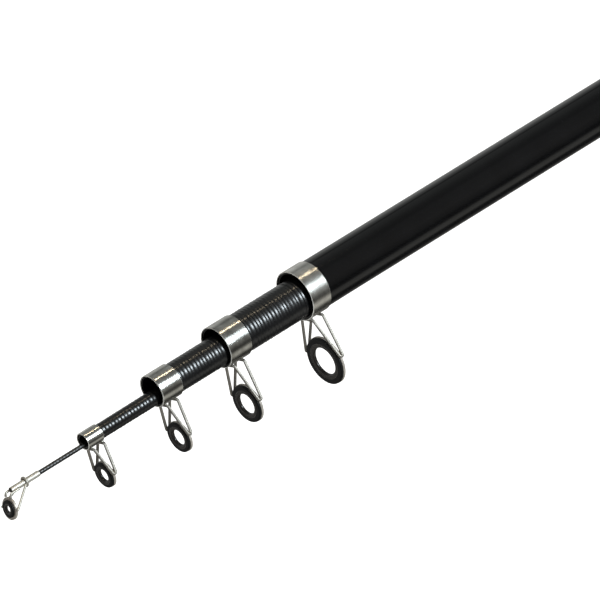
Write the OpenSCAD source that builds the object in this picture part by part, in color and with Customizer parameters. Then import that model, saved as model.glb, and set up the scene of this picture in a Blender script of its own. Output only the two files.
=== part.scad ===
// Telescopic fishing rod, collapsed, with wire-framed line guides on its collars.
// The rod lies along +X with its tip at the far end, and the guides hang below it along -Z.
// The origin is the middle of the rear face of the rubber bumper on the butt cap.

/* [Butt blank] */
// Length of the butt blank
butt_len = 774; // [400:1:1100]
// Outer diameter of the butt blank under its collar
butt_front_d = 21; // [20:0.1:22]
// Outer diameter of the butt blank in its rear sleeve
butt_rear_d = 23; // [22.6:0.1:28]
// Wall of the butt blank at its mouth
butt_front_wall = 0.7; // [0.5:0.05:0.9]
// Wall of the butt blank at its rear end
butt_rear_wall = 1; // [0.8:0.05:1.2]

/* [Second section] */
// How far its front stands out of the butt when collapsed
second_out = 43.9; // [30:0.1:80]
// Outer diameter under its collar
second_front_d = 17.1; // [16.6:0.1:17.6]
// Wall at its mouth
second_front_wall = 0.45; // [0.35:0.05:0.7]
// Wall at its rear end
second_rear_wall = 0.6; // [0.4:0.05:0.8]

/* [Third section] */
// How far its front stands out of the second section when collapsed
third_out = 35.3; // [25:0.1:70]
// Outer diameter under its collar
third_front_d = 13; // [12.4:0.1:13.6]
// Wall at its mouth
third_front_wall = 0.42; // [0.35:0.05:0.7]
// Wall at its rear end
third_rear_wall = 0.8; // [0.6:0.05:1.2]

/* [Fourth section] */
// How far its front stands out of the third section when collapsed
fourth_out = 37.6; // [25:0.1:70]
// Outer diameter under its collar
fourth_front_d = 6.4; // [5.8:0.1:7.4]
// Wall at its mouth
fourth_front_wall = 0.7; // [0.5:0.05:0.9]
// Wall at its rear end
fourth_rear_wall = 1.2; // [0.9:0.05:1.6]

/* [Tip section] */
// How far the tip tube's front stands out of the fourth section when collapsed
tip_out = 37.8; // [30:0.1:70]
// Outer diameter of the tip blank in the tip tube
tip_front_d = 2; // [1.8:0.1:2.4]

/* [Telescope fits] */
// Length of each section that stays in the one behind it when drawn out
overlap = 70; // [50:1:120]
// Radial clearance of a section's rear end in the mouth that it wedges in
wedge_clear = 0.08; // [0.05:0.01:0.12]
// Gap below a collapsed section where it lies in the section behind it
lie_clear = 0.12; // [0.05:0.01:0.2]
// Gap between the collapsed sections and the pad that they stand on
rest_gap = 0.3; // [0.1:0.1:1]
// Glue or braze gap between pieces that are fixed to each other
joint_gap = 0.05; // [0.02:0.01:0.1]

/* [Collars] */
// Wall of the steel collars
collar_wall = 0.48; // [0.3:0.02:0.7]
// How far each collar stands out past the mouth of its blank
collar_lip = 0.6; // [0.2:0.1:1.2]
// Rounding of the collars' edges
collar_edge = 0.15; // [0.05:0.01:0.2]
// Length of the butt collar
butt_collar_len = 9.9; // [9:0.1:16]
// Length of the second section's collar
second_collar_len = 11.3; // [9:0.1:16]
// Length of the third section's collar
third_collar_len = 10.5; // [9:0.1:16]
// Length of the fourth section's collar
fourth_collar_len = 8; // [7.5:0.1:14]

/* [Guide rings] */
// Outer diameter of the butt guide's hoop
butt_ring_d = 21.2; // [19:0.1:26]
// Outer diameter of the second guide's hoop
second_ring_d = 16.8; // [15:0.1:20]
// Outer diameter of the third guide's hoop
third_ring_d = 13.4; // [12.4:0.1:16]
// Outer diameter of the fourth guide's hoop
fourth_ring_d = 11.2; // [10.4:0.1:14]
// Hole of the butt guide's ceramic ring
butt_hole_d = 12; // [10:0.1:14]
// Hole of the second guide's ceramic ring
second_hole_d = 8.8; // [7:0.1:10]
// Hole of the third guide's ceramic ring
third_hole_d = 6.6; // [5:0.1:7.6]
// Hole of the fourth guide's ceramic ring
fourth_hole_d = 4.9; // [4:0.1:5.8]
// Radial width of the butt guide's ceramic ring
butt_ceramic_w = 2; // [1.4:0.1:2.4]
// Radial width of the second guide's ceramic ring
second_ceramic_w = 1.7; // [1.1:0.1:2]
// Radial width of the third guide's ceramic ring
third_ceramic_w = 1.5; // [1:0.1:1.8]
// Radial width of the fourth guide's ceramic ring
fourth_ceramic_w = 1.4; // [1:0.05:1.6]
// Thickness of the shock rings along the rod
shock_t = 1.8; // [1.5:0.1:2.6]
// Thickness of the ceramic rings along the rod
ceramic_t = 1.6; // [1.3:0.1:2]
// Thickness of the metal hoops
hoop_t = 0.3; // [0.2:0.05:0.5]
// Width of the metal hoops along the rod
hoop_w = 1.1; // [0.9:0.1:1.5]
// Lip of the hoops behind the shock rings
hoop_lip = 0.4; // [0.2:0.1:0.6]
// How far the guides' hoops stand out past the shock rings' front flange
hoop_edge = 0.12; // [0.06:0.02:0.16]

/* [Guide frames] */
// Diameter of the guide wire
wire_d = 1.25; // [0.8:0.05:1.3]
// How much thinner the wire is in its bends
wire_neck = 0.04; // [0.03:0.01:0.08]
// Drop of the butt guide's ring centre below the blank's axis
butt_drop = 31.4; // [29:0.1:40]
// Drop of the second guide's ring centre below the blank's axis
second_drop = 27.9; // [24:0.1:34]
// Drop of the third guide's ring centre below the blank's axis
third_drop = 23; // [20:0.1:30]
// Drop of the fourth guide's ring centre below the blank's axis
fourth_drop = 16.9; // [15:0.1:24]
// Ring plane behind the butt collar's front edge
butt_ring_back = 4.3; // [3.8:0.1:5.5]
// Ring plane behind the second collar's front edge
second_ring_back = 5.6; // [3.8:0.1:6.5]
// Ring plane behind the third collar's front edge
third_ring_back = 5.2; // [3.8:0.1:6]
// Ring plane behind the fourth collar's front edge
fourth_ring_back = 4.4; // [3.8:0.1:4.5]
// Half width of the butt guide's frame under the collar
butt_bar_half = 3.6; // [2.6:0.1:5]
// Half width of the second guide's frame under the collar
second_bar_half = 2.8; // [2.2:0.1:4]
// Half width of the third guide's frame under the collar
third_bar_half = 2.6; // [2.2:0.1:3.4]
// Half width of the fourth guide's frame under the collar
fourth_bar_half = 2.2; // [1.8:0.1:2.8]
// Distance between the two bars of a frame along the rod
bar_apart = 5.4; // [4.4:0.1:6.4]
// Bend radius of the wire between a bar and a leg
bar_bend = 0.8; // [0.7:0.1:1.1]
// Bend radius of the hairpin at the ring
hairpin_bend = 0.85; // [0.7:0.05:1.2]
// How far the butt guide's hairpin runs on past the spot where it touches the hoop
butt_past = 1.8; // [0.3:0.1:3]
// How far the second guide's hairpin runs on past that spot
second_past = 0.8; // [0.3:0.1:2.4]
// How far the third guide's hairpin runs on past that spot
third_past = 0.4; // [0.3:0.1:2]
// How far the fourth guide's hairpin runs on past that spot
fourth_past = 1.2; // [0.3:0.1:1.8]

/* [Tip-top] */
// Length of the tip tube
tip_tube_len = 14.2; // [11:0.1:22]
// Wall of the tip tube
tip_tube_wall = 0.18; // [0.12:0.02:0.3]
// Distance of the wire band behind the tip tube's front
tip_band_back = 7.2; // [5:0.1:10]
// Diameter of the tip-top's wire
tip_wire_d = 1; // [0.6:0.05:1.2]
// Outer diameter of the tip hoop
tip_ring_d = 9.2; // [8.6:0.1:9.5]
// Thickness of the tip hoop
tip_hoop_t = 1.1; // [1.05:0.05:1.2]
// Width of the tip hoop along the rod
tip_hoop_w = 1; // [0.7:0.05:1.2]
// How far the tip hoop stands out past its shock ring's front flange
tip_hoop_edge = 1; // [0.7:0.05:1.05]
// Thickness of the tip shock ring along the rod
tip_shock_t = 1.4; // [1.2:0.1:1.8]
// Thickness of the tip ceramic ring along the rod
tip_ceramic_t = 1.3; // [1.1:0.1:1.6]
// Hole of the tip ceramic ring
tip_hole_d = 2.4; // [2:0.1:3]
// Radial width of the tip ceramic ring
tip_ceramic_w = 1.1; // [0.8:0.05:1.3]
// Tip ring's centre ahead of the tip tube's front
tip_ring_ahead = 3.5; // [2.8:0.1:5]
// Drop of the tip ring's centre below the tip's axis
tip_drop = 6.2; // [6:0.1:8]
// Lean of the tip ring, its lower edge forward
tip_lean = 12; // [8:0.5:25]
// Length of the front wires along the tip tube
tip_wire_lie = 3; // [2:0.1:4]
// How far the front wires lie round below the sides of the tip tube
tip_wire_turn = 15; // [0:1:22]
// Bend radius of the front wires
tip_wire_bend = 1.4; // [1.2:0.1:1.6]

/* [Butt end] */
// Thickness of the rubber bumper
bumper_t = 3; // [2:0.5:8]
// Diameter of the rubber bumper
bumper_d = 21; // [14:0.5:22]
// Thickness of the cap's fluted flange
flange_t = 7; // [5:0.5:14]
// How far the flange is set in from the sleeve
flange_in = 0.3; // [0.1:0.1:0.6]
// Broken rear edge of the flange and of the bumper
rim_edge = 1; // [0.4:0.1:1.4]
// Number of flutes round the flange
flute_count = 24; // [12:1:30]
// Depth of the flutes
flute_depth = 0.6; // [0.3:0.05:0.8]
// Radius of the flutes
flute_r = 1.1; // [0.9:0.1:1.3]
// Plain rim in front of the flutes
flute_rim = 1; // [0.5:0.1:3]
// Length of the cap's screwed spigot
spigot_len = 14; // [8:0.5:24]
// Radial clearance of the screwed spigot
screw_clear = 0.1; // [0.05:0.01:0.15]
// Thickness of the soft pad on the spigot
pad_t = 6; // [3:0.5:10]
// Radial room round the pad
pad_room = 0.6; // [0.4:0.1:1.5]
// Wall of the butt sleeve round the blank
sleeve_wall = 0.95; // [0.7:0.05:2]
// Length of the butt sleeve
sleeve_len = 42; // [34:1:70]
// Broken rear edge of the butt sleeve
sleeve_edge = 0.4; // [0.2:0.1:0.6]
// Length of the taper at the butt sleeve's front
sleeve_taper_len = 3; // [1:0.5:6]
// Room between the spigot's end and the blank's rear end
spigot_room = 2; // [1:0.5:4]

/* [Reel seat] */
// Middle of the reel seat from the rod's rear face
seat_x = 330; // [160:1:360]
// Length of the seat plate's flat
seat_len = 130; // [110:1:160]
// Width of the seat plate
seat_w = 14; // [12:0.5:16]
// Thickness of the seat plate under the blank
seat_t = 3; // [2.6:0.1:4]
// Length of the plate's feet under the wraps
seat_foot_len = 20; // [12:1:30]
// Width of the plate's feet
seat_foot_w = 9; // [6:0.5:11]
// Thickness of the plate's feet
seat_foot_t = 1.2; // [0.8:0.1:1.6]
// Thickness of the thread wraps
wrap_t = 0.5; // [0.3:0.05:0.8]
// How far the thread wraps run on past the plate's feet
wrap_past = 2; // [1:0.5:5]
// Length of the fixed hood
fixed_hood_len = 18; // [14:0.5:24]
// Length of the sliding hood
sliding_hood_len = 20; // [16:0.5:26]
// Wall of the hoods
hood_wall = 1.4; // [1:0.1:2]
// Depth of the hoods' pockets below the plate
pocket_depth = 5.2; // [4.6:0.1:7]
// Half width of the hoods' pockets at the plate
pocket_half = 7.6; // [7:0.1:8.4]
// Thickness of the closed end of a hood
hood_end = 2; // [1.4:0.1:3]
// Shortest distance between the mouths of the two hoods
foot_room = 39; // [30:1:45]
// Travel of the sliding hood
hood_travel = 30; // [15:1:36]
// Running gap between the sliding hood and the plate
slide_gap = 0.2; // [0.1:0.05:0.4]
// Depth of the rail grooves in the plate's sides
rail_depth = 1.4; // [0.8:0.1:1.8]
// Height of the rail grooves
rail_h = 1.4; // [1:0.1:1.8]
// Length of the clamp lever from its pin
lever_len = 20; // [14:0.5:26]
// Width of the clamp lever
lever_w = 8; // [6:0.5:9]
// Thickness of the clamp lever
lever_t = 1.6; // [1.2:0.1:2.2]
// Diameter of the lever's pin
lever_pin_d = 1.8; // [1.2:0.1:2.2]
// Radial clearance of the lever on its pin
pin_clear = 0.05; // [0.02:0.01:0.1]
// Thickness of the ears that hold the lever's pin
ear_t = 1.6; // [1:0.1:2]

/* [Hidden] */
$fn = 96;
// Overlap of shapes that are joined into one solid
eps = 0.01;
// Turn of a wire's bend into the straight runs at its ends
bend_sink = 6;
// How far a cutter stands out past the solid that it cuts
cut_past = 1;

// Places along the rod, from the rear face of the bumper
flange_x = bumper_t;
sleeve_x = flange_x + flange_t;
pad_x = sleeve_x + spigot_len;
rest_x = pad_x + pad_t + rest_gap;
butt_x = sleeve_x + spigot_len + spigot_room;
mouth_x = butt_x + butt_len;

// The butt's radii, with its rear seat for the sleeve
butt_seat_len = sleeve_len - spigot_len - spigot_room;
sleeve_r = butt_rear_d / 2 + joint_gap + sleeve_wall;
bore_rear_r = butt_rear_d / 2 - butt_rear_wall;
function butt_r(x) = butt_front_d / 2 + (butt_rear_d - butt_front_d) / 2
    * (mouth_x - butt_collar_len - x) / (mouth_x - butt_collar_len - butt_x - butt_seat_len);

// Lengths of the inner sections, which all stand on the pad
in_butt = mouth_x - rest_x;
second_len = in_butt + second_out;
third_len = second_len + third_out;
fourth_len = third_len + fourth_out;
tip_len = fourth_len + tip_out + collar_lip;

// Mouth bores, and rear radii that wedge in the mouth of the section behind
butt_mouth_r = butt_front_d / 2 - butt_front_wall;
second_mouth_r = second_front_d / 2 - second_front_wall;
third_mouth_r = third_front_d / 2 - third_front_wall;
fourth_mouth_r = fourth_front_d / 2 - fourth_front_wall;
second_rear_r = butt_mouth_r - wedge_clear;
third_rear_r = second_mouth_r - wedge_clear;
fourth_rear_r = third_mouth_r - wedge_clear;
tip_rear_r = fourth_mouth_r - wedge_clear;

// Radius of a section where the section behind it ends, and its drop there and at its rear end
function taper_r(rear_r, front_r, len, seat, x) = rear_r - (rear_r - front_r) * x / (len - seat);
butt_bore_at_rest = butt_mouth_r + (bore_rear_r - butt_mouth_r) * in_butt / butt_len;
second_at_mouth = taper_r(second_rear_r, second_front_d / 2, second_len, second_collar_len, in_butt);
third_at_mouth = taper_r(third_rear_r, third_front_d / 2, third_len, third_collar_len, second_len);
fourth_at_mouth = taper_r(fourth_rear_r, fourth_front_d / 2, fourth_len, fourth_collar_len, third_len);
tip_at_mouth = taper_r(tip_rear_r, tip_front_d / 2, tip_len, tip_tube_len, fourth_len);
second_drop_rear = butt_bore_at_rest - second_rear_r - lie_clear;
third_drop_rear = second_rear_r - second_rear_wall - third_rear_r - lie_clear;
fourth_drop_rear = third_rear_r - third_rear_wall - fourth_rear_r - lie_clear;
tip_drop_rear = fourth_rear_r - fourth_rear_wall - tip_rear_r - lie_clear;
second_drop_mouth = butt_mouth_r - second_at_mouth - lie_clear;
third_drop_mouth = second_mouth_r - third_at_mouth - lie_clear;
fourth_drop_mouth = third_mouth_r - fourth_at_mouth - lie_clear;
tip_drop_mouth = fourth_mouth_r - tip_at_mouth - lie_clear;

// Rear height and slope of each section as it lies in the one behind it
second_slope = (second_drop_mouth - second_drop_rear) / in_butt;
third_slope = second_slope + (third_drop_mouth - third_drop_rear) / second_len;
fourth_slope = third_slope + (fourth_drop_mouth - fourth_drop_rear) / third_len;
tip_slope = fourth_slope + (tip_drop_mouth - tip_drop_rear) / fourth_len;
second_z = -second_drop_rear;
third_z = second_z - third_drop_rear;
fourth_z = third_z - fourth_drop_rear;
tip_z = fourth_z - tip_drop_rear;

// How far each section draws out, and how far it rises to the middle of the mouth meanwhile
second_travel = in_butt - overlap;
third_travel = second_len - overlap;
fourth_travel = third_len - overlap;
tip_travel = fourth_len - overlap;
second_rise = second_drop_rear + second_slope * overlap / 2;
third_rise = third_drop_rear + (third_slope - second_slope) * overlap / 2;
fourth_rise = fourth_drop_rear + (fourth_slope - third_slope) * overlap / 2;
tip_rise = tip_drop_rear + (tip_slope - fourth_slope) * overlap / 2;
echo(second_slide = [second_travel, second_rise / second_travel]);
echo(third_slide = [third_travel, third_rise / third_travel - second_slope]);
echo(fourth_slide = [fourth_travel, fourth_rise / fourth_travel - third_slope]);
echo(tip_slide = [tip_travel, tip_rise / tip_travel - fourth_slope]);

// Rear face of a hoop, from the middle plane of its shock ring
function hoop_rear(t) = -t / 2 - joint_gap - hoop_t;

// Reel seat heights below the butt's axis
seat_face = butt_r(seat_x - seat_len / 2) + seat_t;
hood_centre = (pocket_half * pocket_half - pocket_depth * pocket_depth) / (2 * pocket_depth);
hood_r = pocket_depth + hood_centre;
rail_top = seat_face - (seat_t - rail_h) / 2;
fixed_hood_x = seat_x + seat_len / 2 - fixed_hood_len;
sliding_hood_x = fixed_hood_x - foot_room - hood_travel - sliding_hood_len;
knuckle_r = lever_pin_d / 2 + lever_t;
lever_pin_x = sliding_hood_x - knuckle_r - slide_gap;
lever_pin_z = seat_face + slide_gap + knuckle_r;

echo(seat = [seat_face, fixed_hood_x, sliding_hood_x, lever_pin_x, lever_pin_z]);
echo(ring_places = [second_z, second_slope, third_z, third_slope, fourth_z, fourth_slope]);

// Colours of the materials
steel = "silver";
lacquer = "#1c1c1e";
nylon = "#2c2c2e";
ceramic = "#3a3a3d";
alloy = "#3c3c40";
coated_steel = "#4a4a4e";
rubber = "#202022";
foam = "#303034";
thread = "#151517";

// Frames of the sections, from the rear end of each along its own axis
module in_butt_frame() {
    translate([butt_x, 0, 0])
        children();
}

module in_section(z, slope) {
    translate([rest_x, 0, z])
        rotate([0, atan(slope), 0])
            children();
}

// A body turned about the rod's axis, from a profile of radius and distance along the rod
module turned(points) {
    rotate([0, 90, 0])
        rotate_extrude()
            polygon(points);
}

// Tapered tube with a straight seat at its front and, on the butt, one at its rear
module blank(len, rear_r, front_r, rear_bore, front_bore, front_seat, rear_seat = 0) {
    color(lacquer)
        turned([
            [rear_bore, 0],
            [rear_r, 0],
            [rear_r, rear_seat + eps],
            [front_r, len - front_seat],
            [front_r, len],
            [front_bore, len]
        ]);
}

// Steel sleeve on a blank's mouth, with broken edges
module collar(blank_r, len) {
    in_r = blank_r + joint_gap;
    out_r = in_r + collar_wall;
    color(steel)
        turned([
            [in_r, 0],
            [out_r - collar_edge, 0],
            [out_r, collar_edge],
            [out_r, len - collar_edge],
            [out_r - collar_edge, len],
            [in_r + collar_edge, len],
            [in_r, len - collar_edge]
        ]);
}

// Straight piece of wire between two points of a plane
module wire_run(a, b, d) {
    run = b - a;
    translate([a[0], a[1], 0])
        rotate([0, 0, atan2(run[1], run[0])])
            rotate([0, 90, 0])
                cylinder(d = d, h = norm(run), $fn = 32);
}

// Bent piece of wire round a centre in a plane, drawn thinner, with its ends in the straight runs
module wire_bend(centre, r, from, sweep, d) {
    translate([centre[0], centre[1], 0])
        rotate([0, 0, from - bend_sink])
            rotate_extrude(angle = sweep + 2 * bend_sink)
                translate([r, 0])
                    circle(d = d - wire_neck, $fn = 32);
}

// Frame of a guide, one wire bent into a closed loop: a bar across the underside of the collar at
// each end, and between the bars a hairpin down each side, whose legs touch the hoop
module guide_frame(blank_r, drop, ring_d, bar_half, past) {
    hoop_x = hoop_rear(shock_t) + hoop_w / 2;
    bar_z = blank_r + 2 * joint_gap + collar_wall + wire_d / 2;
    touch_r = ring_d / 2 + joint_gap + wire_d / 2;
    span = norm([bar_half, drop - bar_z]);
    lean = asin(touch_r / span) - atan2(bar_half, drop - bar_z);
    pin_y = sqrt(span * span - touch_r * touch_r) + past - hairpin_bend;
    far = norm([bar_apart / 2, pin_y]);
    leg_turn = atan2(pin_y, -bar_apart / 2) - asin(hairpin_bend / far);
    leg_len = sqrt(far * far - hairpin_bend * hairpin_bend);
    corner = acos(sin(lean) * sin(leg_turn));
    cut = bar_bend * tan(corner / 2);
    color(steel)
        translate([hoop_x, 0, -bar_z]) {
            for (end = [-1, 1])
                translate([end * bar_apart / 2, cut - bar_half, 0])
                    rotate([-90, 0, 0])
                        cylinder(d = wire_d, h = 2 * (bar_half - cut), $fn = 32);
            for (end = [-1, 1], side = [-1, 1])
                translate([end * bar_apart / 2, side * (bar_half - cut), 0])
                    rotate([0, atan2(-end * cos(leg_turn), cos(lean) * sin(leg_turn)), 0])
                        rotate([-90, 0, side * 90])
                            wire_bend([0, bar_bend], bar_bend, -90, corner, wire_d);
            for (side = [-1, 1])
                translate([0, side * bar_half, 0])
                    rotate([side * lean - 90, 0, 0]) {
                        for (end = [-1, 1]) {
                            top = [end * bar_apart / 2, 0];
                            along = [end * cos(leg_turn), sin(leg_turn)];
                            wire_run(top + cut * along, top + leg_len * along, wire_d);
                        }
                        wire_bend([0, pin_y], hairpin_bend, leg_turn - 90, 360 - 2 * leg_turn, wire_d);
                    }
        }
}

// Metal hoop with a lip behind the shock ring
module hoop(ring_d, wall, w, t) {
    r = ring_d / 2;
    rear = hoop_rear(t);
    color(steel)
        turned([
            [r - wall - hoop_lip, rear],
            [r - hoop_t / 3, rear],
            [r, rear + hoop_t / 3],
            [r, rear + w - hoop_t / 3],
            [r - hoop_t / 3, rear + w],
            [r - wall, rear + w],
            [r - wall, rear + hoop_t],
            [r - wall - hoop_lip, rear + hoop_t]
        ]);
}

// Black shock ring round the ceramic ring, with a rounded flange in front of the hoop
module shock_ring(ring_d, hole_d, ceramic_w, wall, edge, w, t) {
    out_r = ring_d / 2 - edge;
    spigot_r = ring_d / 2 - wall - joint_gap;
    in_r = hole_d / 2 + ceramic_w + joint_gap;
    flange = t / 2 - hoop_rear(t) - w - joint_gap;
    round_r = min(flange * 0.6, (out_r - in_r) / 3);
    half = t / 2;
    color(nylon)
        rotate([0, 90, 0])
            rotate_extrude() {
                translate([in_r, -half])
                    square([spigot_r - in_r, t - round_r]);
                translate([in_r, half - flange])
                    square([out_r - in_r, flange - round_r]);
                translate([in_r, half - flange])
                    square([out_r - in_r - round_r, flange]);
                translate([out_r - round_r, half - round_r])
                    circle(r = round_r, $fn = 32);
            }
}

// Polished ceramic ring with a full round bore
module ceramic_ring(hole_d, ceramic_w, t) {
    in_r = hole_d / 2;
    bead = t / 2;
    color(ceramic)
        rotate([0, 90, 0])
            rotate_extrude()
                intersection() {
                    union() {
                        translate([in_r + bead, 0])
                            circle(r = bead, $fn = 48);
                        translate([in_r + bead, -bead])
                            square([ceramic_w, t]);
                    }
                    translate([in_r, -bead])
                        square([ceramic_w, t]);
                }
}

// Ring place of a guide on the butt and on each section
module butt_guide() {
    translate([mouth_x + collar_lip - butt_ring_back, 0, 0])
        children();
}

module second_guide() {
    in_section(second_z, second_slope)
        translate([second_len + collar_lip - second_ring_back, 0, 0])
            children();
}

module third_guide() {
    in_section(third_z, third_slope)
        translate([third_len + collar_lip - third_ring_back, 0, 0])
            children();
}

module fourth_guide() {
    in_section(fourth_z, fourth_slope)
        translate([fourth_len + collar_lip - fourth_ring_back, 0, 0])
            children();
}

// Butt blank with its seats for the sleeve and the collar
module butt_blank() {
    in_butt_frame()
        blank(butt_len, butt_rear_d / 2, butt_front_d / 2, bore_rear_r, butt_mouth_r,
            butt_collar_len, butt_seat_len);
}

// Sleeve glued on the butt's rear end, with the screw seat of the cap behind the blank
module butt_sleeve() {
    screw_len = spigot_len + spigot_room - joint_gap;
    in_r = butt_rear_d / 2 + joint_gap;
    color(alloy)
        translate([sleeve_x, 0, 0])
            turned([
                [bore_rear_r, joint_gap],
                [sleeve_r - sleeve_edge, joint_gap],
                [sleeve_r, joint_gap + sleeve_edge],
                [sleeve_r, sleeve_len - sleeve_taper_len],
                [sleeve_r - sleeve_wall / 2, sleeve_len],
                [in_r, sleeve_len],
                [in_r, screw_len],
                [bore_rear_r, screw_len]
            ]);
}

module butt_collar() {
    translate([mouth_x + collar_lip - butt_collar_len, 0, 0])
        collar(butt_front_d / 2, butt_collar_len);
}

module butt_frame() {
    butt_guide()
        guide_frame(butt_front_d / 2, butt_drop, butt_ring_d, butt_bar_half, butt_past);
}

module butt_hoop() {
    butt_guide()
        translate([0, 0, -butt_drop])
            hoop(butt_ring_d, hoop_t, hoop_w, shock_t);
}

module butt_shock_ring() {
    butt_guide()
        translate([0, 0, -butt_drop])
            shock_ring(butt_ring_d, butt_hole_d, butt_ceramic_w, hoop_t, hoop_edge, hoop_w, shock_t);
}

module butt_ceramic() {
    butt_guide()
        translate([0, 0, -butt_drop])
            ceramic_ring(butt_hole_d, butt_ceramic_w, ceramic_t);
}

// Part of a cone round the butt that follows its taper, a set distance outside the blank
module butt_shell(x_from, x_to, off) {
    translate([x_from, 0, 0])
        rotate([0, 90, 0])
            cylinder(r1 = butt_r(x_from) + off, r2 = butt_r(x_to) + off, h = x_to - x_from);
}

// Foot of the seat plate: a strip that lies along the blank
module seat_foot(x_from, x_to, out, side_room) {
    intersection() {
        butt_shell(x_from, x_to, joint_gap + seat_foot_t + out);
        translate([x_from - eps, -seat_foot_w / 2 - side_room, -2 * seat_face])
            cube([x_to - x_from + 2 * eps, seat_foot_w + 2 * side_room, 2 * seat_face]);
    }
}

// Saddle plate with a flat for the reel foot, side rails, and a foot at each end
module seat_plate() {
    x0 = seat_x - seat_len / 2;
    x1 = seat_x + seat_len / 2;
    color(nylon)
        difference() {
            union() {
                translate([x0, -seat_w / 2, -seat_face])
                    cube([seat_len, seat_w, seat_face]);
                seat_foot(x0 - seat_foot_len, x0 + eps, 0, 0);
                seat_foot(x1 - eps, x1 + seat_foot_len, 0, 0);
            }
            butt_shell(x0 - seat_foot_len - cut_past, x1 + seat_foot_len + cut_past, joint_gap);
            translate([x0 - seat_foot_len - cut_past, -seat_w, -seat_face / 2])
                cube([seat_len + 2 * (seat_foot_len + cut_past), 2 * seat_w, seat_face]);
            for (side = [-1, 1])
                translate([x0 - cut_past, side * (seat_w + cut_past - rail_depth) / 2, -rail_top])
                    translate([0, -(rail_depth + cut_past) / 2, 0])
                        cube([fixed_hood_x - x0, rail_depth + cut_past, rail_h]);
        }
}

// Section of a hood across the rod: an arch over the pocket, with skirts beside the plate
module hood_section(gap, skirt) {
    intersection() {
        difference() {
            translate([0, hood_centre])
                circle(r = hood_r + hood_wall);
            translate([-seat_w / 2 - gap, -gap])
                square([seat_w + 2 * gap, 4 * hood_r]);
            intersection() {
                translate([0, hood_centre])
                    circle(r = hood_r);
                translate([-2 * hood_r, -4 * hood_r])
                    square([4 * hood_r, 4 * hood_r]);
            }
        }
        translate([-4 * hood_r, -4 * hood_r])
            square([8 * hood_r, 4 * hood_r + skirt]);
    }
}

// Wall that closes a hood's end below the plate
module hood_end_section(gap) {
    intersection() {
        translate([0, hood_centre])
            circle(r = hood_r + hood_wall);
        translate([-2 * hood_r, -4 * hood_r])
            square([4 * hood_r, 4 * hood_r - gap]);
    }
}

// Stands a section of a hood upright along the rod, with its zero height at the plate's flat
module along_seat(x, len) {
    translate([x, 0, -seat_face])
        rotate([90, 0, 90])
            linear_extrude(height = len)
                children();
}

// Fixed hood at the front of the plate, open to the rear
module seat_fixed_hood() {
    color(coated_steel) {
        along_seat(fixed_hood_x, fixed_hood_len)
            hood_section(joint_gap, seat_t);
        along_seat(fixed_hood_x + fixed_hood_len - hood_end, hood_end)
            hood_end_section(joint_gap);
    }
}

// Sliding hood that runs on the plate's rails, open to the front, with ears for the lever
module seat_sliding_hood() {
    lip_in = rail_depth - slide_gap;
    lip_h = rail_h - 2 * slide_gap;
    ear_y = lever_w / 2 + slide_gap;
    color(coated_steel)
        difference() {
            union() {
                along_seat(sliding_hood_x, sliding_hood_len) {
                    hood_section(slide_gap, seat_t);
                    for (side = [-1, 1])
                        translate([side * (seat_w / 2 + slide_gap - lip_in / 2), seat_face - rail_top + rail_h / 2])
                            square([lip_in + 2 * eps, lip_h], center = true);
                }
                along_seat(sliding_hood_x, hood_end)
                    hood_end_section(slide_gap);
                for (side = [-1, 1])
                    translate([lever_pin_x, side * (ear_y + ear_t / 2) - ear_t / 2, -lever_pin_z]) {
                        rotate([-90, 0, 0])
                            cylinder(r = knuckle_r, h = ear_t);
                        translate([0, 0, -knuckle_r])
                            cube([sliding_hood_x - lever_pin_x + eps, ear_t, 2 * knuckle_r]);
                    }
            }
            translate([lever_pin_x, -seat_w, -lever_pin_z])
                rotate([-90, 0, 0])
                    cylinder(d = lever_pin_d + 2 * joint_gap, h = 2 * seat_w);
        }
}

// Pin through the sliding hood's ears
module lever_pin() {
    half = lever_w / 2 + slide_gap + ear_t;
    color(steel)
        translate([lever_pin_x, -half, -lever_pin_z])
            rotate([-90, 0, 0])
                cylinder(d = lever_pin_d, h = 2 * half);
}

// Clamp lever, folded rearwards below the plate
module seat_lever() {
    color(steel)
        difference() {
            translate([lever_pin_x, -lever_w / 2, -lever_pin_z])
                rotate([-90, 0, 0]) {
                    cylinder(r = knuckle_r - slide_gap / 2, h = lever_w);
                    linear_extrude(height = lever_w)
                        polygon([
                            [0, knuckle_r - slide_gap / 2],
                            [-lever_len, knuckle_r + lever_t / 2],
                            [-lever_len, knuckle_r - lever_t / 2],
                            [-lever_len / 3, knuckle_r - slide_gap / 2 - lever_t],
                            [0, knuckle_r - slide_gap / 2 - lever_t]
                        ]);
                }
            translate([lever_pin_x, -seat_w, -lever_pin_z])
                rotate([-90, 0, 0])
                    cylinder(d = lever_pin_d + 2 * pin_clear, h = 2 * seat_w);
        }
}

// Thread wrap round the blank and over one foot of the plate
module seat_wrap(x_from, x_to) {
    color(thread)
        difference() {
            union() {
                butt_shell(x_from, x_to, joint_gap + wrap_t);
                seat_foot(x_from, x_to, joint_gap + wrap_t, joint_gap + wrap_t);
            }
            butt_shell(x_from - cut_past, x_to + cut_past, joint_gap);
            seat_foot(x_from - cut_past, x_to + cut_past, joint_gap, joint_gap);
        }
}

module seat_wrap_front() {
    x1 = seat_x + seat_len / 2;
    seat_wrap(x1 + joint_gap, x1 + seat_foot_len + wrap_past);
}

module seat_wrap_rear() {
    x0 = seat_x - seat_len / 2;
    seat_wrap(x0 - seat_foot_len - wrap_past, x0 - joint_gap);
}

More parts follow.
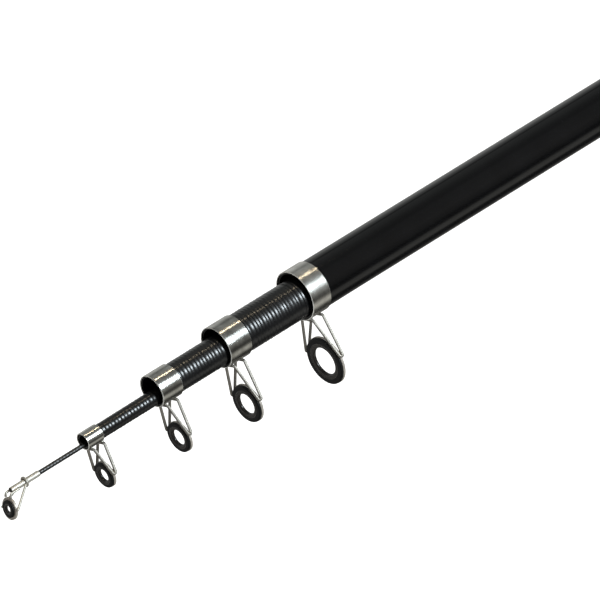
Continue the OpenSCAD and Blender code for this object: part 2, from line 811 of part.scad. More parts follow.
// Screw cap with a fluted flange and a hollow spigot
module cap() {
    spigot_r = bore_rear_r - screw_clear;
    flange_r = sleeve_r - flange_in;
    color(alloy)
        difference() {
            translate([flange_x, 0, 0])
                turned([
                    [0, 0],
                    [flange_r - rim_edge, 0],
                    [flange_r, rim_edge],
                    [flange_r, flange_t],
                    [spigot_r, flange_t],
                    [spigot_r, flange_t + spigot_len],
                    [0, flange_t + spigot_len]
                ]);
            for (i = [0 : flute_count - 1])
                rotate([i * 360 / flute_count, 0, 0])
                    translate([flange_x - cut_past, 0, flange_r + flute_r - flute_depth])
                        rotate([0, 90, 0])
                            cylinder(r = flute_r, h = cut_past + flange_t - flute_rim, $fn = 24);
        }
}

// Rubber bumper on the cap's rear face
module cap_bumper() {
    r = bumper_d / 2;
    color(rubber)
        turned([
            [0, 0],
            [r - rim_edge, 0],
            [r, rim_edge],
            [r, bumper_t],
            [0, bumper_t]
        ]);
}

// Soft pad on the spigot's end
module cap_pad() {
    r = bore_rear_r - pad_room;
    color(foam)
        translate([pad_x, 0, 0])
            turned([
                [0, 0],
                [r, 0],
                [r, pad_t],
                [0, pad_t]
            ]);
}

module second_blank() {
    in_section(second_z, second_slope)
        blank(second_len, second_rear_r, second_front_d / 2, second_rear_r - second_rear_wall, second_mouth_r,
            second_collar_len);
}

module second_collar() {
    in_section(second_z, second_slope)
        translate([second_len + collar_lip - second_collar_len, 0, 0])
            collar(second_front_d / 2, second_collar_len);
}

module second_frame() {
    second_guide()
        guide_frame(second_front_d / 2, second_drop, second_ring_d, second_bar_half, second_past);
}

module second_hoop() {
    second_guide()
        translate([0, 0, -second_drop])
            hoop(second_ring_d, hoop_t, hoop_w, shock_t);
}

module second_shock_ring() {
    second_guide()
        translate([0, 0, -second_drop])
            shock_ring(second_ring_d, second_hole_d, second_ceramic_w, hoop_t, hoop_edge, hoop_w, shock_t);
}

module second_ceramic() {
    second_guide()
        translate([0, 0, -second_drop])
            ceramic_ring(second_hole_d, second_ceramic_w, ceramic_t);
}

module third_blank() {
    in_section(third_z, third_slope)
        blank(third_len, third_rear_r, third_front_d / 2, third_rear_r - third_rear_wall, third_mouth_r,
            third_collar_len);
}

module third_collar() {
    in_section(third_z, third_slope)
        translate([third_len + collar_lip - third_collar_len, 0, 0])
            collar(third_front_d / 2, third_collar_len);
}

module third_frame() {
    third_guide()
        guide_frame(third_front_d / 2, third_drop, third_ring_d, third_bar_half, third_past);
}

module third_hoop() {
    third_guide()
        translate([0, 0, -third_drop])
            hoop(third_ring_d, hoop_t, hoop_w, shock_t);
}

module third_shock_ring() {
    third_guide()
        translate([0, 0, -third_drop])
            shock_ring(third_ring_d, third_hole_d, third_ceramic_w, hoop_t, hoop_edge, hoop_w, shock_t);
}

module third_ceramic() {
    third_guide()
        translate([0, 0, -third_drop])
            ceramic_ring(third_hole_d, third_ceramic_w, ceramic_t);
}

module fourth_blank() {
    in_section(fourth_z, fourth_slope)
        blank(fourth_len, fourth_rear_r, fourth_front_d / 2, fourth_rear_r - fourth_rear_wall, fourth_mouth_r,
            fourth_collar_len);
}

module fourth_collar() {
    in_section(fourth_z, fourth_slope)
        translate([fourth_len + collar_lip - fourth_collar_len, 0, 0])
            collar(fourth_front_d / 2, fourth_collar_len);
}

module fourth_frame() {
    fourth_guide()
        guide_frame(fourth_front_d / 2, fourth_drop, fourth_ring_d, fourth_bar_half, fourth_past);
}

module fourth_hoop() {
    fourth_guide()
        translate([0, 0, -fourth_drop])
            hoop(fourth_ring_d, hoop_t, hoop_w, shock_t);
}

module fourth_shock_ring() {
    fourth_guide()
        translate([0, 0, -fourth_drop])
            shock_ring(fourth_ring_d, fourth_hole_d, fourth_ceramic_w, hoop_t, hoop_edge, hoop_w, shock_t);
}

module fourth_ceramic() {
    fourth_guide()
        translate([0, 0, -fourth_drop])
            ceramic_ring(fourth_hole_d, fourth_ceramic_w, ceramic_t);
}

// Places on the tip-top, from the front end of the tip tube
tip_tube_r = tip_front_d / 2 + joint_gap + tip_tube_wall;
tip_wire_y = tip_tube_r + joint_gap + tip_wire_d / 2;
hoop_mid = hoop_rear(tip_shock_t) + tip_hoop_w / 2;

module at_tip() {
    in_section(tip_z, tip_slope)
        translate([tip_len, 0, 0])
            children();
}

module at_tip_ring() {
    at_tip()
        translate([tip_ring_ahead, 0, -tip_drop])
            rotate([0, -tip_lean, 0])
                children();
}

// Straight wire between two points in space, rounded at both ends
module tip_strut(a, b) {
    run = b - a;
    flat = norm([run[0], run[1]]);
    translate(a)
        rotate([0, atan2(flat, run[2]), atan2(run[1], run[0])]) {
            cylinder(d = tip_wire_d, h = norm(run), $fn = 32);
            sphere(d = tip_wire_d, $fn = 32);
            translate([0, 0, norm(run)])
                sphere(d = tip_wire_d, $fn = 32);
        }
}

// Solid tip rod with a straight seat for the tip tube
module tip_blank() {
    in_section(tip_z, tip_slope)
        color(lacquer)
            turned([
                [0, 0],
                [tip_rear_r, 0],
                [tip_front_d / 2, tip_len - tip_tube_len],
                [tip_front_d / 2, tip_len - joint_gap],
                [0, tip_len - joint_gap]
            ]);
}

// Steel tube over the end of the tip rod
module tip_tube() {
    in_r = tip_front_d / 2 + joint_gap;
    at_tip()
        color(steel)
            turned([
                [in_r, -tip_tube_len],
                [tip_tube_r, -tip_tube_len],
                [tip_tube_r, 0],
                [in_r, 0]
            ]);
}

// Wire band round the middle of the tip tube
module tip_band() {
    at_tip()
        translate([-tip_band_back, 0, 0])
            color(steel)
                rotate([0, 90, 0])
                    rotate_extrude()
                        translate([tip_wire_y, 0])
                            circle(d = tip_wire_d, $fn = 32);
}

// Rear leg from the band to the side of the tip hoop
module tip_leg(side) {
    wire_r = tip_wire_d / 2;
    top = [-tip_band_back + tip_wire_d + joint_gap, side * tip_wire_y, -wire_r];
    foot = [
        tip_ring_ahead + hoop_mid * cos(tip_lean),
        side * (tip_ring_d / 2 + 3 * joint_gap + wire_r),
        -tip_drop + hoop_mid * sin(tip_lean)
    ];
    at_tip()
        color(steel)
            tip_strut(top, foot);
}

// Front wire along the side of the tip tube, bent down on to the top of the tip hoop
module tip_wire(side) {
    hoop_r = tip_ring_d / 2;
    wire_y = tip_wire_y * cos(tip_wire_turn);
    wire_z = -tip_wire_y * sin(tip_wire_turn);
    inner_y = wire_y - tip_wire_d / 2;
    turn = 90 - tip_lean;
    bend_x = tip_wire_bend * sin(turn);
    bend_z = wire_z - tip_wire_bend * (1 - cos(turn));
    off = (bend_x - tip_ring_ahead) * cos(tip_lean) + (bend_z + tip_drop) * sin(tip_lean);
    start = (hoop_mid - off) / cos(tip_lean);
    above = (tip_ring_ahead - start - bend_x) * sin(tip_lean) + (bend_z + tip_drop) * cos(tip_lean);
    run = above - sqrt(hoop_r * hoop_r - inner_y * inner_y) - joint_gap;
    from = [start + bend_x, bend_z];
    at_tip()
        translate([0, side * wire_y, 0])
            rotate([90, 0, 0])
                color(steel) {
                    wire_run([-tip_wire_lie, wire_z], [start, wire_z], tip_wire_d);
                    wire_bend([start, wire_z - tip_wire_bend], tip_wire_bend, 90 - turn, turn, tip_wire_d);
                    wire_run(from, from + run * [sin(tip_lean), -cos(tip_lean)], tip_wire_d);
                }
}

module tip_hoop() {
    at_tip_ring()
        hoop(tip_ring_d, tip_hoop_t, tip_hoop_w, tip_shock_t);
}

module tip_shock_ring() {
    at_tip_ring()
        shock_ring(tip_ring_d, tip_hole_d, tip_ceramic_w, tip_hoop_t, tip_hoop_edge, tip_hoop_w, tip_shock_t);
}

module tip_ceramic() {
    at_tip_ring()
        ceramic_ring(tip_hole_d, tip_ceramic_w, tip_ceramic_t);
}

butt_blank();
butt_sleeve();
butt_collar();
butt_frame();
butt_hoop();
butt_shock_ring();
butt_ceramic();
seat_plate();
seat_fixed_hood();
seat_wrap_front();
seat_wrap_rear();
seat_sliding_hood();
lever_pin();
seat_lever();
cap();
cap_bumper();
cap_pad();
second_blank();
second_collar();
second_frame();
second_hoop();
second_shock_ring();
second_ceramic();
third_blank();
third_collar();
third_frame();
third_hoop();
third_shock_ring();
third_ceramic();
fourth_blank();
fourth_collar();
fourth_frame();
fourth_hoop();
fourth_shock_ring();
fourth_ceramic();
tip_blank();
tip_tube();
tip_band();
tip_leg(1);  // tip_leg_left
tip_leg(-1);  // tip_leg_right
tip_wire(1);  // tip_wire_left
tip_wire(-1);  // tip_wire_right
tip_hoop();
tip_shock_ring();
tip_ceramic();
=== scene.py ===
import math
import random
from collections import namedtuple

import bmesh
import bpy
from mathutils import Matrix, Vector


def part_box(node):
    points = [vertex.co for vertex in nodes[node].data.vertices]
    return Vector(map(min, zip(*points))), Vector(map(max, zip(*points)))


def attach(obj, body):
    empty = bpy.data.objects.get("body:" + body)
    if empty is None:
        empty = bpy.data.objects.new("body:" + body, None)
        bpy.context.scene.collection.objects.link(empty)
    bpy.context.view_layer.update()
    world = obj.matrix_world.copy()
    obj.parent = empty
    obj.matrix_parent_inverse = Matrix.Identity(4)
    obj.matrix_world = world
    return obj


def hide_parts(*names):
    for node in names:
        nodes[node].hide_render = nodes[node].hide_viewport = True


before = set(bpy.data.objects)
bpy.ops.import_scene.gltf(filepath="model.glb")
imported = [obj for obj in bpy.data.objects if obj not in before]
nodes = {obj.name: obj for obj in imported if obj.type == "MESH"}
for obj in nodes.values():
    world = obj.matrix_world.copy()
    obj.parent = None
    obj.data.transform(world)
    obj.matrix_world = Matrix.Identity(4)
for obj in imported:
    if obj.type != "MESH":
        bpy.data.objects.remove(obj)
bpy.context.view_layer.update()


# Butt blank: the thickest tube, rolled from carbon cloth, sanded smooth and dipped in black lacquer.
# Its finish shows only soft reflections, a faint orange peel and hairline handling scratches.
def put(tree, kind, *ins, named=None, **attrs):
    """Adds a node, sets its attributes, and sets or links its inputs by place or by name."""
    node = tree.nodes.new(kind)
    for key, value in attrs.items():
        setattr(node, key, value)
    for key, value in list(enumerate(ins)) + list((named or {}).items()):
        if value is None:
            continue
        if isinstance(value, bpy.types.NodeSocket):
            tree.links.new(value, node.inputs[key])
        else:
            node.inputs[key].default_value = value
    return node


def calc(tree, operation, a, b=None, c=None):
    """Output of one Math node."""
    return put(tree, "ShaderNodeMath", a, b, c, operation=operation).outputs[0]


def span(tree, value, low, high):
    """A 0 to 1 value spread over low to high."""
    return put(tree, "ShaderNodeMapRange", value, 0.0, 1.0, low, high).outputs[0]


def stretched(tree, vector, x, y, z):
    """Coordinates with each axis multiplied, for a grain that runs one way."""
    return put(tree, "ShaderNodeVectorMath", vector, (x, y, z), operation="MULTIPLY").outputs[0]


def effect(name, inputs, outputs):
    """Empty shader node group with float inputs after a Vector, and float outputs."""
    tree = bpy.data.node_groups.new(name, "ShaderNodeTree")
    tree.interface.new_socket(name="Vector", in_out="INPUT", socket_type="NodeSocketVector")
    for label, value in inputs.items():
        sock = tree.interface.new_socket(name=label, in_out="INPUT", socket_type="NodeSocketFloat")
        sock.default_value = value
    for label in outputs:
        tree.interface.new_socket(name=label, in_out="OUTPUT", socket_type="NodeSocketFloat")
    return tree, tree.nodes.new("NodeGroupInput").outputs, tree.nodes.new("NodeGroupOutput").inputs


handled, given, made = effect("handled_gloss", {"Shine": 0.1, "Dulling": 0.08, "Peel Scale": 900.0, "Scratch": 0.4},
                              ["Roughness", "Height", "Film"])
film = put(handled, "ShaderNodeTexNoise", named={"Vector": given["Vector"], "Scale": 70.0, "Detail": 4.0})
peel = put(handled, "ShaderNodeTexNoise",
           named={"Vector": given["Vector"], "Scale": given["Peel Scale"], "Detail": 2.0})
lines = put(handled, "ShaderNodeTexNoise",
            named={"Vector": stretched(handled, given["Vector"], 90, 5200, 5200), "Scale": 1.0, "Detail": 1.0})
hair = put(handled, "ShaderNodeMapRange", lines.outputs[0], 0.68, 0.74, 0.0, 1.0, interpolation_type="SMOOTHSTEP")
scuff = calc(handled, "MULTIPLY", hair.outputs[0], given["Scratch"])
dull = calc(handled, "MULTIPLY_ADD", film.outputs[0], given["Dulling"], given["Shine"])
handled.links.new(calc(handled, "MULTIPLY_ADD", scuff, 0.12, dull), made["Roughness"])
handled.links.new(calc(handled, "MULTIPLY_ADD", scuff, -0.4, peel.outputs[0]), made["Height"])
handled.links.new(film.outputs[0], made["Film"])


def start_finish(name, rough=0.5, metal=0.0):
    """New material and the pieces that every finish here starts from: tree, shader and Object coordinates."""
    mat = bpy.data.materials.new(name)
    mat.use_nodes = True
    tree = mat.node_tree
    shader = tree.nodes["Principled BSDF"]
    shader.inputs["Roughness"].default_value = rough
    shader.inputs["Metallic"].default_value = metal
    return mat, tree, shader, put(tree, "ShaderNodeTexCoord").outputs["Object"]


def two_tones(tree, shader, factor, dark, light):
    """Base colour that drifts between two close tones."""
    ramp = put(tree, "ShaderNodeValToRGB", factor)
    ramp.color_ramp.elements[0].position = 0.3
    ramp.color_ramp.elements[0].color = (*dark, 1)
    ramp.color_ramp.elements[1].position = 0.72
    ramp.color_ramp.elements[1].color = (*light, 1)
    tree.links.new(ramp.outputs[0], shader.inputs["Base Color"])


def raise_grain(tree, shader, height, depth, strength):
    """Fine relief, depth in metres."""
    bump = put(tree, "ShaderNodeBump", named={"Height": height, "Distance": depth, "Strength": strength})
    tree.links.new(bump.outputs[0], shader.inputs["Normal"])


def use_group(tree, group, vector, **values):
    """Places a shared effect with its own values."""
    node = tree.nodes.new("ShaderNodeGroup")
    node.node_tree = group
    tree.links.new(vector, node.inputs["Vector"])
    for key, value in values.items():
        node.inputs[key.replace("_", " ")].default_value = value
    return node.outputs


def wear_finish(name, finish):
    """Gives a CAD node its finish."""
    mesh = nodes[name].data
    mesh.materials.clear()
    mesh.materials.append(finish)


def gloss_finish(name, dark, light, depth, strength, extra=None, **values):
    """Finish with the shared handled gloss: two tones, uneven shine, fine relief and extra shader values."""
    mat, tree, shader, where = start_finish(name)
    gloss = use_group(tree, handled, where, **values)
    two_tones(tree, shader, gloss["Film"], dark, light)
    tree.links.new(gloss["Roughness"], shader.inputs["Roughness"])
    raise_grain(tree, shader, gloss["Height"], depth, strength)
    for key, value in (extra or {}).items():
        shader.inputs[key].default_value = value
    return mat


butt_lacquer = gloss_finish(
    "butt_lacquer", (0.0012, 0.0012, 0.0014), (0.0022, 0.0022, 0.0025), 0.00002, 0.25,
    extra={"Specular IOR Level": 0.42}, Shine=0.03, Dulling=0.05, Peel_Scale=420.0, Scratch=0.5)
wear_finish("butt_blank", butt_lacquer)


# Second, third and fourth blanks and the tip: carbon cloth rolled on a mandrel under shrink tape, left unsanded.
# The lapped tape leaves a fine ridge round the blank at every turn, each a little different, under black lacquer.
REST_X = 0.0303
LAP_PITCH = 0.00166
# one lap: places of its five rows of points along the lap, and their rise, both from 0 to 1
LAP_PLACES = (0.0, 0.14, 0.3, 0.5, 0.7)
LAP_RISE = (0.0, 0.7, 1.0, 0.5, 0.0)
LAP_ROWS = len(LAP_PLACES)
# how a lap differs from the next: most it slips along the blank, least height, and how its height drifts round it
LAP_SLIP = 0.3
LAP_LEAST = 0.4
DRIFT_STEP = 0.61
DRIFT_SCALE = 4.2
DRIFT_GAIN = 2.4
DRIFT_LOSS = -0.2


def growing_tree(name, inputs):
    """Empty Geometry Nodes tree with these inputs after its geometry: the tree, its inputs and its outputs."""
    g = bpy.data.node_groups.new(name, "GeometryNodeTree")
    g.interface.new_socket(name="Geometry", in_out="INPUT", socket_type="NodeSocketGeometry")
    for label, kind in inputs.items():
        g.interface.new_socket(name=label, in_out="INPUT", socket_type="NodeSocket" + kind)
    g.interface.new_socket(name="Geometry", in_out="OUTPUT", socket_type="NodeSocketGeometry")
    return g, g.nodes.new("NodeGroupInput").outputs, g.nodes.new("NodeGroupOutput").inputs


def tape_wound_tree():
    """Geometry Nodes tree of a tapered blank with a ridge at every lap of the tape, bored or solid."""
    g, size, out = growing_tree("tape_wound_blank", {
        "Length": "Float", "Taper Length": "Float", "Rear Radius": "Float", "Front Radius": "Float",
        "Rear Bore": "Float", "Front Bore": "Float", "Lap Pitch": "Float", "Lap Height": "Float", "Slope": "Float",
        "Laps": "Int", "Around": "Int", "Seed": "Int", "Solid": "Bool", "Place": "Vector", "Finish": "Material"})

    def pick(test, no, yes):
        return put(g, "GeometryNodeSwitch", test, no, yes, input_type="FLOAT").outputs[0]

    def less(a, b):
        return put(g, "FunctionNodeCompare", a, b, data_type="FLOAT", operation="LESS_THAN").outputs[0]

    # a flat sheet of points is rolled up: rows 0 to outer - 1 are the skin, then come the mouth, bore and rear rim
    outer = calc(g, "MULTIPLY_ADD", size["Laps"], LAP_ROWS, 1.0)
    rows = calc(g, "ADD", outer, 3.0)
    grid = put(g, "GeometryNodeMeshGrid", 1.0, 1.0, rows, calc(g, "ADD", size["Around"], 1.0))
    at = put(g, "ShaderNodeSeparateXYZ", put(g, "GeometryNodeInputPosition").outputs[0]).outputs
    row = calc(g, "ROUND", calc(g, "MULTIPLY", calc(g, "ADD", at[0], 0.5), calc(g, "SUBTRACT", rows, 1.0)))
    turn = calc(g, "MULTIPLY", calc(g, "ADD", at[1], 0.5), -2 * math.pi)
    bore_row = calc(g, "ABSOLUTE", calc(g, "SUBTRACT", calc(g, "SUBTRACT", row, outer), 0.5))
    no_bore = put(g, "FunctionNodeBooleanMath", size["Solid"], less(bore_row, 0.3), operation="AND")
    body = put(g, "GeometryNodeDeleteGeometry", grid.outputs[0], no_bore.outputs[0], domain="FACE", mode="ALL")

    lap = calc(g, "FLOOR", calc(g, "DIVIDE", row, LAP_ROWS))
    step = calc(g, "SUBTRACT", row, calc(g, "MULTIPLY", lap, LAP_ROWS))
    places = put(g, "GeometryNodeIndexSwitch", data_type="FLOAT")
    rises = put(g, "GeometryNodeIndexSwitch", data_type="FLOAT")
    for switch, values in ((places, LAP_PLACES), (rises, LAP_RISE)):
        while len(switch.index_switch_items) < LAP_ROWS:
            switch.index_switch_items.new()
        g.links.new(step, switch.inputs["Index"])
        for k, value in enumerate(values):
            switch.inputs[k + 1].default_value = value
    slip = put(g, "FunctionNodeRandomValue", data_type="FLOAT",
               named={2: 0.0, 3: LAP_SLIP, "ID": lap, "Seed": calc(g, "ADD", size["Seed"], 40.0)})
    place = calc(g, "ADD", calc(g, "ADD", lap, places.outputs[0]), slip.outputs[1])
    along = calc(g, "MINIMUM", calc(g, "MULTIPLY", place, size["Lap Pitch"]), size["Length"])
    along = calc(g, "MULTIPLY", along, calc(g, "GREATER_THAN", row, 0.5))
    each = put(g, "FunctionNodeRandomValue", data_type="FLOAT",
               named={2: LAP_LEAST, 3: 1.0, "ID": lap, "Seed": size["Seed"]})
    spot = put(g, "ShaderNodeCombineXYZ", calc(g, "MULTIPLY", lap, DRIFT_STEP), calc(g, "COSINE", turn),
               calc(g, "SINE", turn))
    patch = put(g, "ShaderNodeTexNoise", named={"Vector": spot.outputs[0], "Scale": DRIFT_SCALE, "Detail": 4.0})
    drift = calc(g, "MULTIPLY_ADD", patch.outputs[0], DRIFT_GAIN, DRIFT_LOSS)
    swell = calc(g, "MULTIPLY", each.outputs[1], drift)
    ridge = calc(g, "MULTIPLY", calc(g, "MULTIPLY", calc(g, "MINIMUM", swell, 1.0), rises.outputs[0]),
                 size["Lap Height"])
    taper = calc(g, "MINIMUM", calc(g, "DIVIDE", along, size["Taper Length"]), 1.0)
    plain = calc(g, "MULTIPLY_ADD", calc(g, "SUBTRACT", size["Front Radius"], size["Rear Radius"]), taper,
                 size["Rear Radius"])
    skin = calc(g, "ADD", calc(g, "SUBTRACT", plain, size["Lap Height"]), ridge)
    rear_skin = calc(g, "SUBTRACT", size["Rear Radius"], size["Lap Height"])
    on_skin = less(row, calc(g, "SUBTRACT", outer, 0.5))
    on_mouth = less(row, calc(g, "ADD", outer, 0.5))
    on_bore = less(row, calc(g, "ADD", outer, 1.5))
    x = pick(on_skin, pick(on_mouth, 0.0, size["Length"]), along)
    radius = pick(on_skin, pick(on_mouth, pick(on_bore, rear_skin, size["Rear Bore"]), size["Front Bore"]), skin)
    rolled = put(g, "ShaderNodeCombineXYZ", x, calc(g, "MULTIPLY", radius, calc(g, "COSINE", turn)),
                 calc(g, "MULTIPLY", radius, calc(g, "SINE", turn)))
    body = put(g, "GeometryNodeSetPosition", body.outputs[0], named={"Position": rolled.outputs[0]})
    body = put(g, "GeometryNodeMergeByDistance", body.outputs[0], named={"Distance": 0.0000005})
    body = put(g, "GeometryNodeSetShadeSmooth", body.outputs[0])
    crease = put(g, "FunctionNodeCompare", put(g, "GeometryNodeInputMeshEdgeAngle").outputs[0], 0.8,
                 data_type="FLOAT", operation="GREATER_THAN")
    body = put(g, "GeometryNodeStoreNamedAttribute", body.outputs[0], data_type="BOOLEAN", domain="EDGE",
               named={"Name": "sharp_edge", "Value": crease.outputs[0]})
    lean = put(g, "ShaderNodeCombineXYZ", 0.0, size["Slope"], 0.0)
    body = put(g, "GeometryNodeTransform", body.outputs[0],
               named={"Translation": size["Place"], "Rotation": lean.outputs[0]})
    body = put(g, "GeometryNodeRealizeInstances", body.outputs[0])
    body = put(g, "GeometryNodeSetMaterial", body.outputs[0], named={"Material": size["Finish"]})
    g.links.new(body.outputs[0], out["Geometry"])
    return g


def grow(name, group, values, start=None):
    """Runs a Geometry Nodes tree once and keeps the result as a plain mesh object."""
    host = bpy.data.objects.new(name + "_start", start or bpy.data.meshes.new(name + "_start"))
    bpy.context.scene.collection.objects.link(host)
    mod = host.modifiers.new("grow", "NODES")
    mod.node_group = group
    for item in group.interface.items_tree:
        if item.item_type == "SOCKET" and item.in_out == "INPUT" and item.name in values:
            mod[item.identifier] = values[item.name]
    deps = bpy.context.evaluated_depsgraph_get()
    mesh = bpy.data.meshes.new_from_object(host.evaluated_get(deps))
    host.modifiers.remove(mod)
    bpy.data.objects.remove(host)
    mesh.name = name
    piece = bpy.data.objects.new(name, mesh)
    bpy.context.scene.collection.objects.link(piece)
    return piece


wound_lacquer = gloss_finish(
    "wound_lacquer", (0.0016, 0.0016, 0.0018), (0.003, 0.003, 0.0034), 0.00003, 0.5,
    extra={"Specular IOR Level": 0.45, "Coat Weight": 0.4, "Coat Roughness": 0.08},
    Shine=0.28, Dulling=0.08, Peel_Scale=1500.0, Scratch=0.6)

# in metres; rear_z is the height of the rear end's middle, slope its fall along the rod, around the points round it
Blank = namedtuple("Blank", "length taper rear_r front_r rear_bore front_bore rear_z slope lap_height around")
BLANKS = {
    "second": Blank(0.8136, 0.8023, 0.00972, 0.00855, 0.00912, 0.0081, -0.00065611, 0.000554, 0.00014, 32),
    "third": Blank(0.8489, 0.8384, 0.00802, 0.0065, 0.00722, 0.00608, -0.00163611, 0.001113, 0.00014, 32),
    "fourth": Blank(0.8865, 0.8785, 0.006, 0.0032, 0.0048, 0.0025, -0.00273611, 0.002957, 0.00011, 28),
    "tip": Blank(0.92485, 0.9107, 0.00242, 0.001, 0.0, 0.0, -0.00499611, 0.001922, 0.00006, 18),
}
FIRST_SEED = 11
wound = tape_wound_tree()
for number, (body, b) in enumerate(BLANKS.items()):
    laps = round(b.length / LAP_PITCH)
    blank = grow(body + "_wound_blank", wound, {
        "Length": b.length, "Taper Length": b.taper, "Rear Radius": b.rear_r, "Front Radius": b.front_r,
        "Rear Bore": b.rear_bore, "Front Bore": b.front_bore, "Lap Pitch": b.length / laps,
        "Lap Height": b.lap_height, "Slope": math.atan(b.slope), "Laps": laps, "Around": b.around,
        "Seed": FIRST_SEED + number, "Solid": body == "tip", "Place": (REST_X, 0.0, b.rear_z),
        "Finish": wound_lacquer})
    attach(blank, body)
    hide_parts(body + "_blank")


# Collars: thin steel sleeves, cut from tube, turned bright and pressed with glue on the mouth of each blank.
# The turning leaves fine lines round them, so reflections smear along the rod, most on the three inner ones.
# The cut ends are left matt.
turned, given, made = effect("turned_steel", {"Density": 9000.0, "Shine": 0.2, "Spread": 0.14},
                             ["Roughness", "Height", "Tone"])
grain = put(turned, "ShaderNodeVectorMath", stretched(turned, given["Vector"], 1.0, 0.012, 0.012),
            named={"Scale": given["Density"]}, operation="SCALE")
cuts = put(turned, "ShaderNodeTexNoise", named={"Vector": grain.outputs[0], "Scale": 1.0, "Detail": 3.0})
stain = put(turned, "ShaderNodeTexNoise", named={"Vector": given["Vector"], "Scale": 240.0, "Detail": 5.0})
mixed = calc(turned, "MULTIPLY_ADD", cuts.outputs[0], 0.6, calc(turned, "MULTIPLY", stain.outputs[0], 0.4))
turned.links.new(calc(turned, "MULTIPLY_ADD", mixed, given["Spread"], given["Shine"]), made["Roughness"])
turned.links.new(mixed, made["Height"])
turned.links.new(stain.outputs[0], made["Tone"])


def turned_finish(name, metal, dark, light, relief=None, **values):
    """Metal with the shared turning lines. Their relief is a depth in metres and a strength."""
    mat, tree, shader, where = start_finish(name, metal=metal)
    brush = use_group(tree, turned, where, **values)
    two_tones(tree, shader, brush["Tone"], dark, light)
    tree.links.new(brush["Roughness"], shader.inputs["Roughness"])
    if relief:
        raise_grain(tree, shader, brush["Height"], *relief)
    return mat


def insides(mat):
    """Node tree of a finish and the inputs of its shader."""
    return mat.node_tree, mat.node_tree.nodes["Principled BSDF"].inputs


def smear_across(mat, amount, kind, *ins, **attrs):
    """Smears reflections across fine lines. They run along the tangent that the added node gives."""
    tree, knobs = insides(mat)
    knobs["Anisotropic"].default_value = amount
    knobs["Anisotropic Rotation"].default_value = 0.25
    tree.links.new(put(tree, kind, *ins, **attrs).outputs[0], knobs["Tangent"])


# shine, smear, dark and light tone
COLLARS = {
    "butt": (0.22, 0.4, (0.59, 0.575, 0.54), (0.84, 0.825, 0.785)),
    "second": (0.2, 0.75, (0.4, 0.39, 0.367), (0.72, 0.71, 0.673)),
    "third": (0.2, 0.75, (0.5, 0.49, 0.46), (0.78, 0.77, 0.73)),
    "fourth": (0.2, 0.75, (0.5, 0.49, 0.46), (0.78, 0.77, 0.73)),
}
for body, (shine, smear, dark, light) in COLLARS.items():
    collar_steel = turned_finish(body + "_collar_steel", 1.0, dark, light, relief=(0.000006, 0.04),
                                 Density=7000.0, Shine=shine, Spread=0.06)
    tree, knobs = insides(collar_steel)
    facing = put(tree, "ShaderNodeSeparateXYZ", put(tree, "ShaderNodeTexCoord").outputs["Normal"]).outputs[0]
    matt_end = put(tree, "ShaderNodeMapRange", calc(tree, "ABSOLUTE", facing), 0.5, 0.8, 1.0, 0.25)
    tree.links.new(matt_end.outputs[0], knobs["Metallic"])
    smear_across(collar_steel, smear, "ShaderNodeTangent", direction_type="RADIAL", axis="X")
    wear_finish(body + "_collar", collar_steel)


# Guide frames: one bright drawn steel wire each, bent into a closed loop and brazed under the collar at its two
# bars and to the hoop on both sides. The braze is silver alloy that has run into small hollow-sided fillets.
drawn_steel = turned_finish("drawn_steel", 0.8, (0.33, 0.305, 0.27), (0.42, 0.39, 0.35),
                            Density=2600.0, Shine=0.47, Spread=0.06)
insides(drawn_steel)[1]["Specular Tint"].default_value = (0.25, 0.24, 0.22, 1)
smear_across(drawn_steel, 1.0, "ShaderNodeCombineXYZ", 0.0, 0.0, 1.0)

silver_braze, tree, shader, where = start_finish("silver_braze", metal=1.0)
lumps = put(tree, "ShaderNodeTexNoise", named={"Vector": where, "Scale": 1800.0, "Detail": 4.0})
two_tones(tree, shader, lumps.outputs[0], (0.50, 0.46, 0.39), (0.72, 0.69, 0.62))
tree.links.new(span(tree, lumps.outputs[0], 0.22, 0.5), shader.inputs["Roughness"])
raise_grain(tree, shader, lumps.outputs[0], 0.00008, 0.5)

WIRE_R = 0.000625
JOINT_GAP = 0.00005
BAR_APART = 0.0054
HOOP_BACK = 0.0007
# ring_x is the ring's plane along the section, drop its middle's depth below the section's axis, bar_half half the
# length of a bar, and bond_r the radius of the joint between ceramic and shock ring
Guide = namedtuple("Guide", "collar_r ring_x hoop_r drop bar_half bond_r")
GUIDES = {
    "butt": Guide(0.01103, 0.7963, 0.0106, 0.0314, 0.0036, 0.008025),
    "second": Guide(0.00908, 0.8086, 0.0084, 0.0279, 0.0028, 0.006125),
    "third": Guide(0.00703, 0.8443, 0.0067, 0.0230, 0.0026, 0.004825),
    "fourth": Guide(0.00373, 0.8827, 0.0056, 0.0169, 0.0022, 0.003875),
}
BUTT_MOUTH = 0.8006
if abs(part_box("butt_collar")[1].x - BUTT_MOUTH) > 0.0001:
    raise ValueError("the butt collar isn't where the guides are placed from")


def section_place(body):
    """Where a section's own axis starts and how it leans: the butt's is the rod's."""
    if body == "butt":
        return Matrix.Identity(4)
    b = BLANKS[body]
    return Matrix.Translation((REST_X, 0, b.rear_z)) @ Matrix.Rotation(math.atan(b.slope), 4, "Y")


def skin_loops(bm, loops, ring=False):
    """Faces from each loop of points to the next, round to the first in a ring, or else with a face on each end."""
    for a, b in zip(loops, loops[1:] + (loops[:1] if ring else [])):
        for k in range(len(a)):
            j = (k + 1) % len(a)
            bm.faces.new((a[k], a[j], b[j], b[k]))
    if not ring:
        bm.faces.new(loops[0])
        bm.faces.new(loops[-1][::-1])


